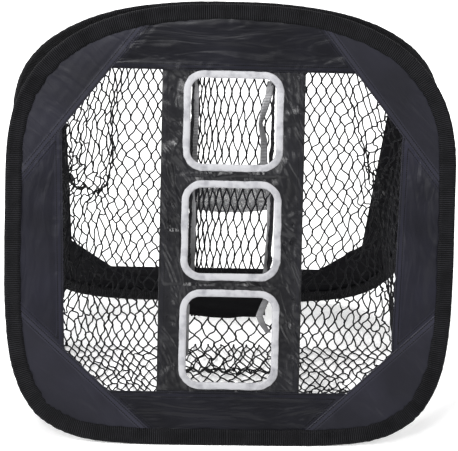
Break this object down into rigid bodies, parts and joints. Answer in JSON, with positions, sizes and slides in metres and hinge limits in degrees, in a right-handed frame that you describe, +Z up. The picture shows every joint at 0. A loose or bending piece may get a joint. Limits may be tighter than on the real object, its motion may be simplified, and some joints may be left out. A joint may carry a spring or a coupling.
{
  "type": "golf chipping net",
  "caption": "Pop-up A-frame chipping net: two hinged spring-hoop panels, a target strip with bound holes and pockets, and catch nets behind the side windows.",
  "frame": {"origin": "on the ground under the hinge, in the middle of the overall box", "axes": "+X to the right seen from the front, +Y from the front panel to the rear panel, +Z up"},
  "size_m": [0.6346, 0.469, 0.5787],
  "materials": {
    "black_nylon": "matte woven nylon with a slight sheen",
    "edge_binding": "ribbed woven edge tape",
    "white_binding": "satin woven binding tape",
    "grey_tape": "ribbed grosgrain tape",
    "netting": "knotted black twine",
    "gauze": "fine open black mesh",
    "spring_steel": "drawn spring wire"
  },
  "bodies": {
    "front_panel": {"catch_net_left": "netting", "catch_net_right": "netting", "floor_net_centre": "netting", "floor_net_left": "netting", "floor_net_right": "netting", "front_band_foot": "black_nylon", "front_band_left": "black_nylon", "front_band_right": "black_nylon", "front_band_top": "black_nylon", "front_binding": "edge_binding", "front_corner_foot_left": "black_nylon", "front_corner_foot_right": "black_nylon", "front_corner_top_left": "black_nylon", "front_corner_top_right": "black_nylon", "front_hinge_flap": "edge_binding", "front_hoop": "spring_steel", "front_hoop_ferrule": "spring_steel", "net_divider_left": "netting", "net_divider_right": "netting", "pocket_base_middle": "gauze", "pocket_base_upper": "gauze", "pocket_gusset_middle_left": "netting", "pocket_gusset_middle_right": "netting", "pocket_gusset_upper_left": "netting", "pocket_gusset_upper_right": "netting", "pocket_net_lower": "netting", "pocket_net_middle": "netting", "pocket_net_upper": "netting", "pocket_tape_lower_left": "grey_tape", "pocket_tape_lower_right": "grey_tape", "pocket_tape_middle_left": "grey_tape", "pocket_tape_middle_right": "grey_tape", "pocket_tape_upper_left": "grey_tape", "pocket_tape_upper_right": "grey_tape", "side_gusset_left": "netting", "side_gusset_right": "netting", "target_rim_lower": "white_binding", "target_rim_middle": "white_binding", "target_rim_upper": "white_binding", "target_strip": "black_nylon"},
    "rear_panel": {"net_tie_left": "edge_binding", "net_tie_right": "edge_binding", "rear_band_foot": "black_nylon", "rear_band_left": "black_nylon", "rear_band_right": "black_nylon", "rear_band_top": "black_nylon", "rear_binding": "edge_binding", "rear_corner_foot_left": "black_nylon", "rear_corner_foot_right": "black_nylon", "rear_corner_top_left": "black_nylon", "rear_corner_top_right": "black_nylon", "rear_hinge_flap": "edge_binding", "rear_hoop": "spring_steel", "rear_hoop_ferrule": "spring_steel"}
  },
  "joints": [
    {"name": "panel_fold", "type": "hinge", "parent": "front_panel", "child": "rear_panel", "pos_m": [0, 0, 0.5767], "axis": [1, 0, 0], "range_deg": [-42.5, 0], "deforming": ["catch_net_left", "catch_net_right", "floor_net_centre", "floor_net_left", "floor_net_right", "net_divider_left", "net_divider_right", "pocket_base_middle", "pocket_base_upper", "pocket_gusset_middle_left", "pocket_gusset_middle_right", "pocket_gusset_upper_left", "pocket_gusset_upper_right", "pocket_net_lower", "pocket_net_middle", "pocket_net_upper", "pocket_tape_lower_left", "pocket_tape_lower_right", "pocket_tape_middle_left", "pocket_tape_middle_right", "pocket_tape_upper_left", "pocket_tape_upper_right", "side_gusset_left", "side_gusset_right"]}
  ]
}
